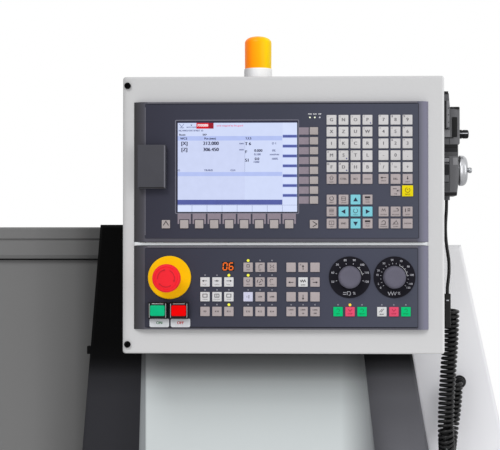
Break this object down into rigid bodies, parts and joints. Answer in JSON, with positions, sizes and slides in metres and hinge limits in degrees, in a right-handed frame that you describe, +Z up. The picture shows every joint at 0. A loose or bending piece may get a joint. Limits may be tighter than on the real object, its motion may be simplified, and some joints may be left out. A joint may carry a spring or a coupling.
{
  "type": "cnc turning lathe",
  "caption": "Flat-bed turning lathe with chuck, carriage, tool post, tailstock, sliding guard door and an operator box with screen, keys, stop button and override dials.",
  "frame": {"origin": "on the floor, at the middle of the machine's outline", "axes": "+X along the bed to the operator's right, +Y away from the operator, +Z up"},
  "size_m": [1.8, 1.211, 1.6305],
  "materials": {
    "stand_paint": "fine textured powder coat, mid grey",
    "light_paint": "satin powder coat, light grey",
    "door_paint": "satin powder coat, grey",
    "dark_paint": "fine textured powder coat, anthracite",
    "column_paint": "satin powder coat, grey-green",
    "cast_bed": "machined ways on painted castings",
    "ground_steel": "ground and turned steel",
    "hard_steel": "blackened hard jaws and tools",
    "alloy": "turned alloy",
    "black_plastic": "black moulded plastic",
    "unit_frame": "smooth blue-grey moulded frame",
    "screen": "lit screen behind a clear pane",
    "port_cover": "dark grey moulded flap",
    "key_light": "light grey key caps",
    "key_grey": "warm grey key caps",
    "key_yellow": "yellow key cap",
    "key_green": "green key caps",
    "key_red": "red key caps",
    "digits": "dark display pane with lit digits",
    "stop_yellow": "yellow plate",
    "stop_red": "red mushroom head",
    "button_green": "green translucent cap",
    "button_red": "red translucent cap",
    "frame_metal": "bright frame with a black seat",
    "scale_black": "black dial with white marks",
    "knob_grey": "grey moulded knob",
    "beacon_white": "white base",
    "beacon_orange": "orange translucent lens",
    "pendant_grey": "dark grey moulded housing",
    "cord_black": "black sheathed wire",
    "feet_metal": "zinc plated levelling feet",
    "cabinet_paint": "textured powder coat, light grey"
  },
  "bodies": {
    "machine": {"stand_pedestals": "stand_paint", "levelling_feet": "feet_metal", "chip_tray": "stand_paint", "lathe_bed": "cast_bed", "headstock": "cast_bed", "rear_guard": "light_paint", "headstock_cover": "light_paint", "console_pod": "dark_paint", "console_column": "column_paint", "right_end_cover": "light_paint", "electric_cabinet": "cabinet_paint", "control_box_front": "light_paint", "control_box_shell": "light_paint", "box_screws": "black_plastic", "screen_unit_bezel": "unit_frame", "display_glass": "screen", "character_keys": "key_light", "command_keys": "key_grey", "cursor_keys": "key_grey", "input_key": "key_yellow", "machine_unit_bezel": "unit_frame", "tool_number_display": "digits", "machine_keys": "key_grey", "start_keys": "key_green", "stop_keys": "key_red", "emergency_stop_plate": "stop_yellow", "push_button_frames": "frame_metal", "override_scales": "scale_black", "beacon_base": "beacon_white", "beacon_lens": "beacon_orange", "handwheel_holder": "dark_paint", "handwheel_unit_body": "pendant_grey", "handwheel_cable": "cord_black", "cable_sleeve": "black_plastic", "curly_cord": "cord_black", "cord_gland": "black_plastic"},
    "spindle_unit": {"spindle": "ground_steel", "chuck_body": "ground_steel"},
    "jaw_1": {"chuck_jaw_1": "hard_steel"},
    "jaw_2": {"chuck_jaw_2": "hard_steel"},
    "jaw_3": {"chuck_jaw_3": "hard_steel"},
    "carriage": {"saddle": "cast_bed"},
    "cross_feed": {"cross_slide": "cast_bed", "turret_base": "ground_steel"},
    "tool_head": {"tool_block": "ground_steel", "cutting_tools": "hard_steel"},
    "feed_screw": {"z_ballscrew": "ground_steel"},
    "tail_unit": {"tailstock": "cast_bed"},
    "tail_quill": {"quill": "ground_steel"},
    "tail_wheel": {"tailstock_handwheel": "ground_steel"},
    "door": {"sliding_door": "door_paint", "door_handle": "black_plastic"},
    "port_flap": {"usb_cover": "port_cover"},
    "stop_button": {"emergency_stop_button": "stop_red"},
    "power_on": {"power_on_button": "button_green"},
    "power_off": {"power_off_button": "button_red"},
    "spindle_knob": {"spindle_override_knob": "knob_grey"},
    "feed_knob": {"feed_override_knob": "knob_grey"},
    "selector_knob": {"axis_selector_knob": "black_plastic"},
    "pulse_wheel": {"pulse_handwheel": "alloy"}
  },
  "joints": [
    {"name": "spindle_spin", "type": "hinge", "parent": "machine", "child": "spindle_unit", "pos_m": [0, 0.08, 1.08], "axis": [1, 0, 0], "continuous": true},
    {"name": "jaw_1_slide", "type": "slide", "parent": "spindle_unit", "child": "jaw_1", "axis": [0, 0, 1], "range_m": [-0.015, 0.008]},
    {"name": "jaw_2_slide", "type": "slide", "parent": "spindle_unit", "child": "jaw_2", "axis": [0, -0.866, -0.5], "range_m": [-0.015, 0.008]},
    {"name": "jaw_3_slide", "type": "slide", "parent": "spindle_unit", "child": "jaw_3", "axis": [0, 0.866, -0.5], "range_m": [-0.015, 0.008]},
    {"name": "saddle_slide", "type": "slide", "parent": "machine", "child": "carriage", "axis": [1, 0, 0], "range_m": [-0.12, 0.25]},
    {"name": "cross_slide_feed", "type": "slide", "parent": "carriage", "child": "cross_feed", "axis": [0, -1, 0], "range_m": [-0.1, 0.05]},
    {"name": "tool_index", "type": "hinge", "parent": "cross_feed", "child": "tool_head", "pos_m": [0, -0.105, 1.06], "axis": [0, 0, 1], "continuous": true},
    {"name": "feed_screw_turn", "type": "hinge", "parent": "machine", "child": "feed_screw", "pos_m": [0, -0.112, 0.8], "axis": [1, 0, 0], "range_deg": [-4321, 9001]},
    {"name": "tailstock_slide", "type": "slide", "parent": "machine", "child": "tail_unit", "axis": [1, 0, 0], "range_m": [-0.08, 0.02]},
    {"name": "tail_wheel_turn", "type": "hinge", "parent": "tail_unit", "child": "tail_wheel", "pos_m": [0.63, 0.08, 1.08], "axis": [-1, 0, 0], "range_deg": [0, 7200]},
    {"name": "quill_slide", "type": "slide", "parent": "tail_unit", "child": "tail_quill", "axis": [-1, 0, 0], "range_m": [0, 0.101]},
    {"name": "door_slide", "type": "slide", "parent": "machine", "child": "door", "axis": [-1, 0, 0], "range_m": [0, 0.45]},
    {"name": "port_flap_hinge", "type": "hinge", "parent": "machine", "child": "port_flap", "pos_m": [0.2984, -0.5733, 1.4334], "axis": [0, 0, -1], "range_deg": [0, 95]},
    {"name": "stop_button_push", "type": "slide", "parent": "machine", "child": "stop_button", "axis": [0, 1, 0], "range_m": [0, 0.005]},
    {"name": "power_on_push", "type": "slide", "parent": "machine", "child": "power_on", "axis": [0, 1, 0], "range_m": [0, 0.003], "stiffness_N_per_m": 600},
    {"name": "power_off_push", "type": "slide", "parent": "machine", "child": "power_off", "axis": [0, 1, 0], "range_m": [0, 0.003], "stiffness_N_per_m": 600},
    {"name": "spindle_knob_turn", "type": "hinge", "parent": "machine", "child": "spindle_knob", "pos_m": [0.595, -0.57, 1.2761], "axis": [0, 1, 0], "range_deg": [-150, 60]},
    {"name": "feed_knob_turn", "type": "hinge", "parent": "machine", "child": "feed_knob", "pos_m": [0.6584, -0.57, 1.2761], "axis": [0, 1, 0], "range_deg": [-220, 45]},
    {"name": "selector_turn", "type": "hinge", "parent": "machine", "child": "selector_knob", "pos_m": [0.76, -0.485, 1.485], "axis": [1, 0, 0], "range_deg": [-60, 60]},
    {"name": "pulse_wheel_spin", "type": "hinge", "parent": "machine", "child": "pulse_wheel", "pos_m": [0.7585, -0.485, 1.4312], "axis": [1, 0, 0], "continuous": true}
  ],
  "couplings": [
    {"joint": "jaw_2_slide", "follows": "jaw_1_slide", "ratio": 1},
    {"joint": "jaw_3_slide", "follows": "jaw_1_slide", "ratio": 1},
    {"joint": "feed_screw_turn", "follows": "saddle_slide", "rad_per_m": 628.32},
    {"joint": "quill_slide", "follows": "tail_wheel_turn", "m_per_rad": 0.00079577}
  ]
}
